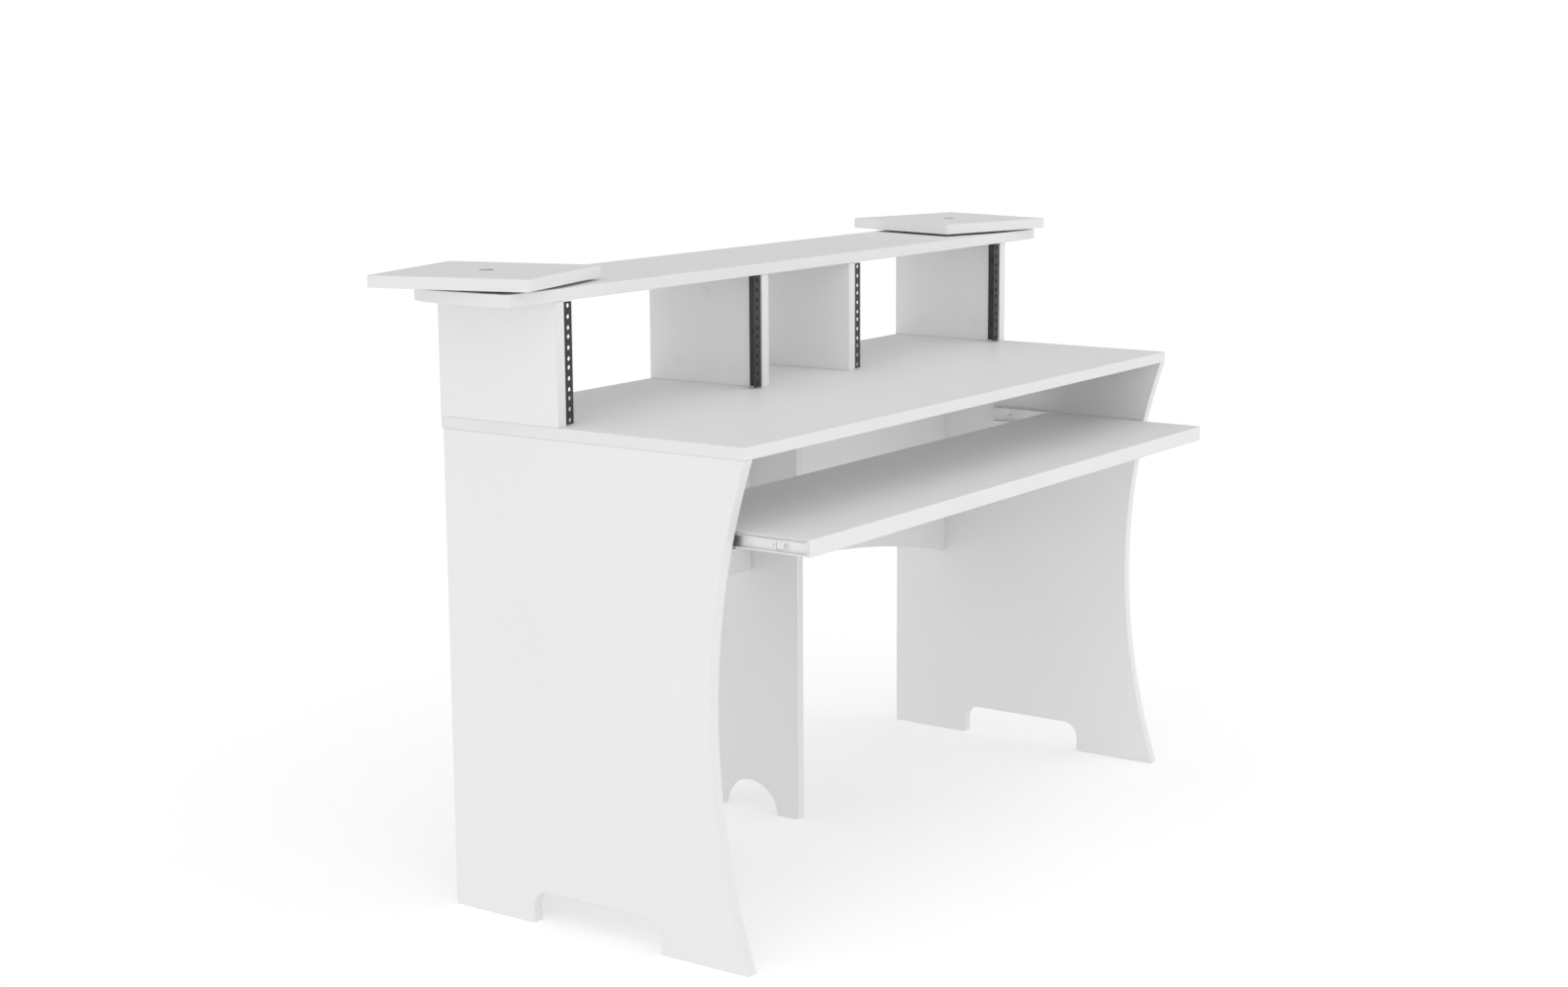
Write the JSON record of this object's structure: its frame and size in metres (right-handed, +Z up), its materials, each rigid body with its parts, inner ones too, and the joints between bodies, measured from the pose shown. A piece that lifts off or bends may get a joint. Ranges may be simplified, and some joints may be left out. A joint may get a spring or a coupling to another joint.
{
  "type": "studio desk",
  "caption": "White board studio desk with curved sides, pull-out keyboard tray, raised rack bays and a top shelf with turning speaker plates.",
  "frame": {"origin": "on the floor, under the middle of the whole desk's box with the tray pulled out as shown", "axes": "+X to the right of the person seated at the desk, +Y to the rear, +Z up"},
  "size_m": [1.5982, 0.6912, 0.976],
  "materials": {
    "white_laminate": "white melamine-faced chipboard, satin, with white edge banding",
    "zinc_steel": "bright zinc-plated steel",
    "black_steel": "satin black powder coat on steel",
    "black_nylon": "matt black nylon",
    "brass": "plain brass",
    "cam_fitting": "die-cast cam and steel bolt under a white cover cap"
  },
  "bodies": {
    "desk": {"side_panel_left": "white_laminate", "side_panel_right": "white_laminate", "center_support": "white_laminate", "modesty_panel_left": "white_laminate", "modesty_panel_right": "white_laminate", "tabletop": "white_laminate", "rack_wall_left_outer": "white_laminate", "rack_wall_left_inner": "white_laminate", "rack_wall_right_outer": "white_laminate", "rack_wall_right_inner": "white_laminate", "top_shelf": "white_laminate", "rack_rail_left_outer": "black_steel", "rack_rail_left_inner": "black_steel", "rack_rail_right_outer": "black_steel", "rack_rail_right_inner": "black_steel", "slide_outer_left": "zinc_steel", "slide_outer_right": "zinc_steel", "pivot_bolt_left": "zinc_steel", "pivot_bolt_right": "zinc_steel", "pivot_washer_left": "zinc_steel", "pivot_washer_right": "zinc_steel", "glide_disc_left": "black_nylon", "glide_disc_right": "black_nylon", "pivot_insert_left": "brass", "pivot_insert_right": "brass", "connector_side_left_rear": "cam_fitting", "connector_side_left_front": "cam_fitting", "connector_side_right_rear": "cam_fitting", "connector_side_right_front": "cam_fitting", "connector_modesty_left_lower": "cam_fitting", "connector_modesty_left_upper": "cam_fitting", "connector_modesty_right_lower": "cam_fitting", "connector_modesty_right_upper": "cam_fitting", "connector_rack_left_outer_front": "cam_fitting", "connector_rack_left_outer_rear": "cam_fitting", "connector_rack_left_outer_top": "cam_fitting", "connector_rack_left_inner_front": "cam_fitting", "connector_rack_left_inner_rear": "cam_fitting", "connector_rack_left_inner_top": "cam_fitting", "connector_rack_right_outer_front": "cam_fitting", "connector_rack_right_outer_rear": "cam_fitting", "connector_rack_right_outer_top": "cam_fitting", "connector_rack_right_inner_front": "cam_fitting", "connector_rack_right_inner_rear": "cam_fitting", "connector_rack_right_inner_top": "cam_fitting", "connector_support_lower": "cam_fitting", "connector_support_upper": "cam_fitting", "connector_support_top_rear": "cam_fitting", "connector_support_top_front": "cam_fitting"},
    "tray": {"keyboard_tray": "white_laminate", "slide_inner_left": "zinc_steel", "slide_inner_right": "zinc_steel"},
    "cage_left": {"ball_cage_left": "zinc_steel"},
    "cage_right": {"ball_cage_right": "zinc_steel"},
    "plate_left": {"speaker_plate_left": "white_laminate"},
    "plate_right": {"speaker_plate_right": "white_laminate"}
  },
  "joints": [
    {"name": "tray_slide", "type": "slide", "parent": "desk", "child": "tray", "axis": [0, -1, 0], "range_m": [-0.118, 0.107]},
    {"name": "cage_left_travel", "type": "slide", "parent": "desk", "child": "cage_left", "axis": [0, -1, 0], "range_m": [-0.059, 0.0535]},
    {"name": "cage_right_travel", "type": "slide", "parent": "desk", "child": "cage_right", "axis": [0, -1, 0], "range_m": [-0.059, 0.0535]},
    {"name": "plate_left_turn", "type": "hinge", "parent": "desk", "child": "plate_left", "pos_m": [-0.646, 0.19255, 0.967], "axis": [0, 0, 1], "continuous": true},
    {"name": "plate_right_turn", "type": "hinge", "parent": "desk", "child": "plate_right", "pos_m": [0.646, 0.19255, 0.967], "axis": [0, 0, 1], "continuous": true}
  ],
  "couplings": [
    {"joint": "cage_left_travel", "follows": "tray_slide", "ratio": 0.5},
    {"joint": "cage_right_travel", "follows": "tray_slide", "ratio": 0.5}
  ]
}
